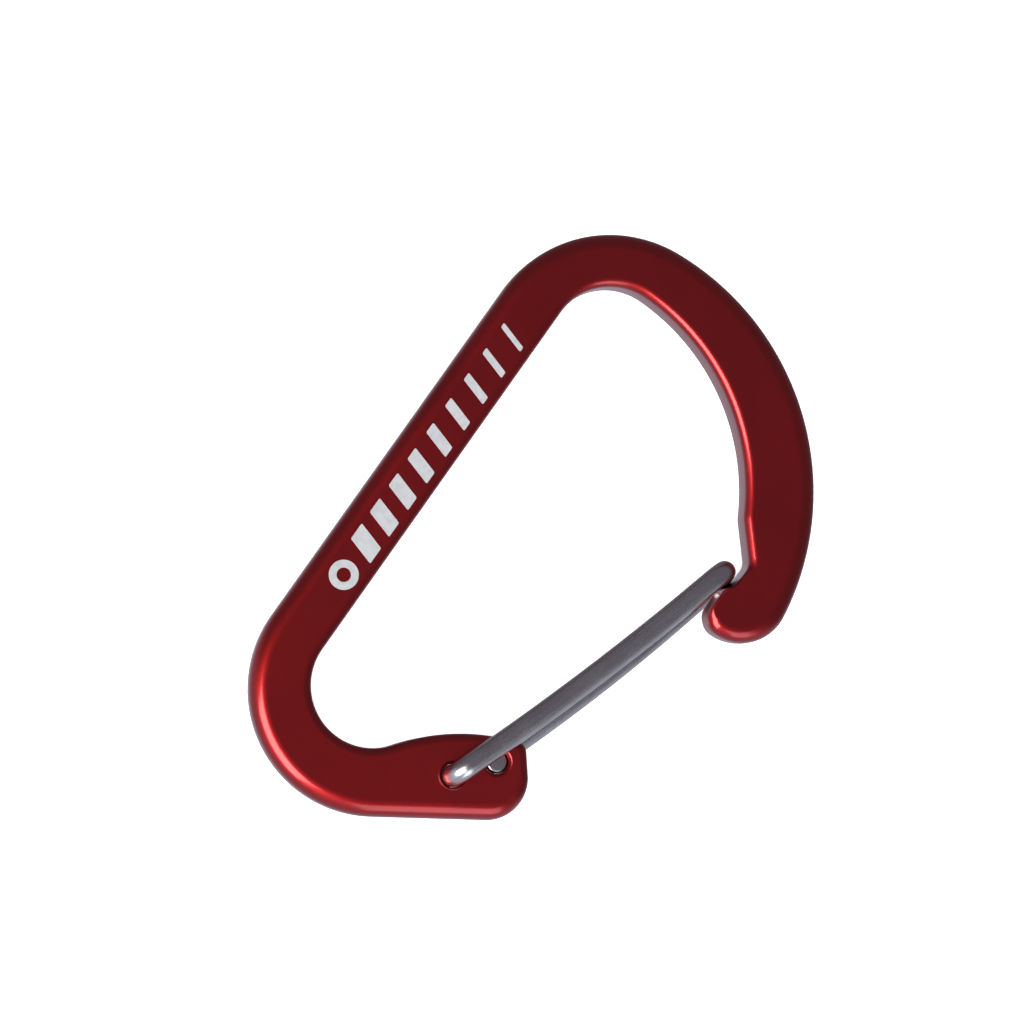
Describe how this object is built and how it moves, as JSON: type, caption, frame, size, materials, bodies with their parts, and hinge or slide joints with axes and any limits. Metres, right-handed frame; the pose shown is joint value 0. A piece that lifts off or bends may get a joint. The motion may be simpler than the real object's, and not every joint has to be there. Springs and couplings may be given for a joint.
{
  "type": "wire gate carabiner",
  "caption": "Small flat D-shaped carabiner carried as a keyring: a rounded-edge plate with a sprung wire gate that swings inwards.",
  "frame": {"origin": "centre of the whole object's box, halfway through the thickness of the plate", "axes": "+Y along the spine towards the wide end, +X from the spine towards the gate, +Z out of the printed face"},
  "size_m": [0.0381, 0.06, 0.0086],
  "materials": {
    "anodised_red": "satin dark red anodised",
    "gate_steel": "bright drawn stainless wire",
    "mark_ink": "matt white pad-printing ink"
  },
  "bodies": {
    "plate": {"body_plate": "anodised_red", "printed_mark": "mark_ink"},
    "gate_front": {"gate_wire_front": "gate_steel"},
    "gate_rear": {"gate_wire_rear": "gate_steel"}
  },
  "joints": [
    {"name": "gate_front_hinge", "type": "hinge", "parent": "plate", "child": "gate_front", "pos_m": [0.00235, -0.021, 0], "axis": [0, 0, 1], "range_deg": [0, 28], "stiffness_Nm_per_rad": 0.05, "springref_deg": -14.32},
    {"name": "gate_rear_hinge", "type": "hinge", "parent": "plate", "child": "gate_rear", "pos_m": [0.0049, -0.0177, 0], "axis": [0, 0, 1], "range_deg": [0, 32]}
  ],
  "couplings": [
    {"joint": "gate_rear_hinge", "follows": "gate_front_hinge", "ratio": 1.13}
  ]
}
